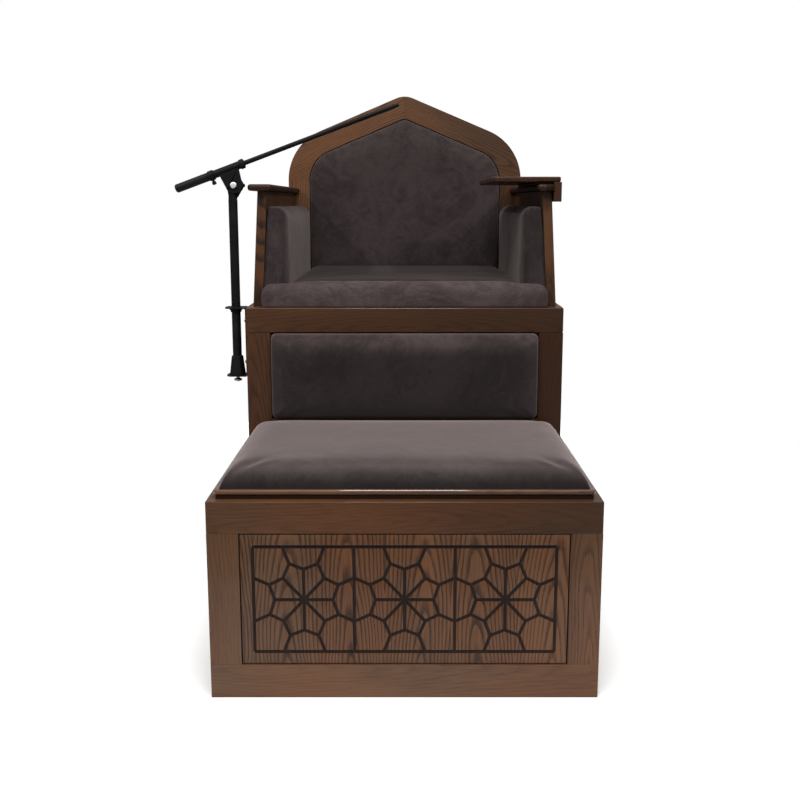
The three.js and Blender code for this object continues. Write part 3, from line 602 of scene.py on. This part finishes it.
def round_over(points, low, high, out, start, top, reach, crown):
    """Rounds a block's free edges. out is the axis that points out of the upholstery; the rounding
    runs from start to top along it. reach gives how far in it comes on the low and high side of
    each other axis. crown lifts the middle over the edges."""
    shaped = points.copy()
    rise = np.clip((points[:, out] - start) / (top - start), 0, 1)
    inset = 1 - np.sqrt(1 - rise ** 2)
    dome = np.ones(len(points))
    sides = np.ones(len(points))
    for axis in reach:
        middle = (low[axis] + high[axis]) / 2
        sides *= np.abs(points[:, axis] - middle) / ((high[axis] - low[axis]) / 2)
    corner = 1 + 0.8 * np.clip(sides, 0, 1) ** 12
    for axis, (at_low, at_high) in reach.items():
        size = high[axis] - low[axis]
        part = np.clip((points[:, axis] - low[axis]) / size, 0, 1)
        near_low = np.clip(1 - part * 2, 0, 1)
        near_high = np.clip(part * 2 - 1, 0, 1)
        shift = at_low * near_low ** 5 - at_high * near_high ** 5
        shaped[:, axis] += inset * corner * shift
        if at_low:
            dome *= 1 - near_low ** 3
        if at_high:
            dome *= 1 - near_high ** 3
    shaped[:, out] -= rise * crown * (1 - dome) * np.sign(top - start)
    return shaped


def sewn(points, out, sign, floor, line, depth, width):
    """Sinks a seam into the face that points out. line gives each point's distance from it."""
    shown = np.clip((points[:, out] - floor) * sign / (5 * MM), 0, 1)
    points[:, out] -= sign * depth * shown * np.exp(-(line(points) / width) ** 2)


def swell(obj, cap):
    """Inflates a cushion by a short cloth simulation, by no more than cap; its group "held" stays
    where it is."""
    points = points_of(obj.data)
    cloth = obj.modifiers.new("cloth", "CLOTH")
    settings = cloth.settings
    settings.quality = 5
    settings.mass = 0.3
    settings.tension_stiffness = COVER_STIFFNESS
    settings.compression_stiffness = COVER_STIFFNESS
    settings.shear_stiffness = 4
    settings.bending_stiffness = 0.5
    settings.use_pressure = True
    settings.uniform_pressure_force = PRESSURE
    settings.effector_weights.gravity = 0
    settings.vertex_group_mass = "held"
    cloth.collision_settings.use_collision = False
    cloth.point_cache.frame_start = 1
    cloth.point_cache.frame_end = STEPS
    for step in range(1, STEPS + 1):
        bpy.context.scene.frame_set(step)
    swollen = points_of(evaluated_mesh(obj))
    obj.modifiers.remove(cloth)
    bpy.context.scene.frame_set(1)
    move = swollen - points
    length = np.linalg.norm(move, axis=1, keepdims=True)
    limited = cap * np.tanh(length / cap)
    set_points(obj.data, points + move / np.maximum(length, 1e-9) * limited)


def keep_sides(points, eased, block, low, high, axes, room):
    """Holds a swollen cushion's sides between their rounded shape, less a little, and the block
    they were cut from, plus room."""
    for axis in axes:
        way = np.sign(block[:, axis] - (low[axis] + high[axis]) / 2)
        outward = np.maximum((points[:, axis] - eased[:, axis]) * way, -PULL_IN)
        points[:, axis] = eased[:, axis] + outward * way
        outward = np.minimum((points[:, axis] - block[:, axis]) * way, room)
        points[:, axis] = block[:, axis] + outward * way


def refine(obj, rounds):
    """Smooths a cushion's free surface and splits its faces once."""
    smooth = obj.modifiers.new("smooth", "SMOOTH")
    smooth.factor = 0.5
    smooth.iterations = rounds
    smooth.vertex_group = "held"
    smooth.invert_vertex_group = True
    fine = obj.modifiers.new("fine", "SUBSURF")
    fine.levels = 1
    obj.data = evaluated_mesh(obj)
    obj.modifiers.clear()
    obj.vertex_groups.clear()


def cushion(node_name, piece_name, out, sign, proud, reach, crown, cap, look, room=0.0,
            seam=None, boxed=False, calm=2):
    """A padded piece in place of a CAD cushion. Its base lies against the wood behind it, out is
    the axis that points away from there, and sign the way. proud is how much of its thickness is
    rounded over, room how far its sides may bulge past the CAD cushion's sides, and calm how many
    rounds of smoothing take its creases out. boxed starts it from the CAD cushion's box."""
    obj = remeshed_copy(node_name, piece_name, boxed)
    low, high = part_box(node_name)
    base, top = (low[out], high[out]) if sign > 0 else (high[out], low[out])
    block = points_of(obj.data)
    held = np.abs(block[:, out] - base) < 1.1 * VOXEL
    block[held, out] = base
    eased = round_over(block, low, high, out, top - sign * proud, top, reach, crown)
    set_points(obj.data, eased)
    group = obj.vertex_groups.new(name="held")
    group.add([int(i) for i in np.nonzero(held)[0]], 1.0, "REPLACE")
    swell(obj, cap)
    points = points_of(obj.data)
    keep_sides(points, eased, block, low, high, reach, room)
    beyond = (points[:, out] - base) * sign < 0
    points[beyond, out] = base
    set_points(obj.data, points)
    refine(obj, calm)
    if seam:
        points = points_of(obj.data)
        sewn(points, out, sign, top - sign * SEAM_REACH, seam, SEAM_DEPTH, SEAM_WIDTH)
        set_points(obj.data, points)
    obj.data.materials.append(look)
    for face in obj.data.polygons:
        face.use_smooth = True
    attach(obj, "chair")
    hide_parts(node_name)


def lower_seat():
    low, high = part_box("lower_cushion")
    # painted shade: the cushion's front is painted darker towards the bottom
    look = velvet("velvet_lower_seat", nap=(0, 0, 0), tone=0.8, sheen=0.5,
                  painted_light_ramp=(2, low.z + 2 * MM, high.z - 4 * MM, 0.15, 1.0))
    cushion("lower_cushion", "lower_seat_cushion", out=2, sign=1, proud=39 * MM,
            reach={0: (22 * MM, 22 * MM), 1: (32 * MM, 20 * MM)}, crown=4 * MM, cap=5 * MM,
            look=look, room=3 * MM, boxed=True, calm=14)


def armchair_seat():
    seam_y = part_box("side_pad_left")[0].y + 12 * MM
    # painted shade: the seat top behind the seam is painted darker than the front roll
    look = velvet("velvet_armchair_seat", nap=(3, 1, 2), tone=1.65, sheen=0.08,
                  stretch=(0.6, 1, 1), painted_light_ramp=(1, seam_y - 2 * MM, seam_y + 2 * MM, 1.0, 0.3))
    cushion("seat_cushion", "armchair_seat_cushion", out=2, sign=1, proud=34 * MM,
            reach={0: (16 * MM, 16 * MM), 1: (20 * MM, 0)}, crown=2 * MM, cap=5 * MM,
            look=look, seam=lambda points: points[:, 1] - seam_y)


def lower_back():
    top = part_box("front_pad")[1].z
    # painted highlight: the pad is painted lighter towards its top
    look = velvet("velvet_lower_back", nap=(5, 2, 7), tone=0.42, sheen=0.35,
                  painted_light_ramp=(2, top - 60 * MM, top - 8 * MM, 1.0, 2.9))
    cushion("front_pad", "lower_back_pad", out=1, sign=-1, proud=22 * MM,
            reach={0: (12 * MM, 12 * MM), 2: (12 * MM, 18 * MM)}, crown=9 * MM, cap=5 * MM,
            look=look)


def backrest():
    look = velvet("velvet_backrest", nap=(2, 8, 4), tone=0.9, sheen=0.25)
    cushion("backrest_pad", "backrest_cushion", out=1, sign=-1, proud=16 * MM,
            reach={0: (8 * MM, 8 * MM), 2: (0, 8 * MM)}, crown=4 * MM, cap=6 * MM,
            look=look)


def arm_pad(side, sign, tone):
    look = velvet("velvet_arm_" + side, nap=(sign, 4, 1), tone=tone, sheen=0.15,
                  stretch=(1, 1, 0.7))
    cushion("side_pad_" + side, "arm_pad_" + side, out=0, sign=sign, proud=24 * MM,
            reach={1: (16 * MM, 0), 2: (0, 16 * MM)}, crown=2 * MM, cap=4 * MM,
            look=look)


def cushions():
    lower_seat()
    armchair_seat()
    lower_back()
    backrest()
    arm_pad("left", 1, 0.95)
    # painted shade: the right pad is given a darker tone, for the shade under the tablet
    arm_pad("right", -1, 0.72)


camera()
studio()
wooden_parts()
hard_parts()
cushions()
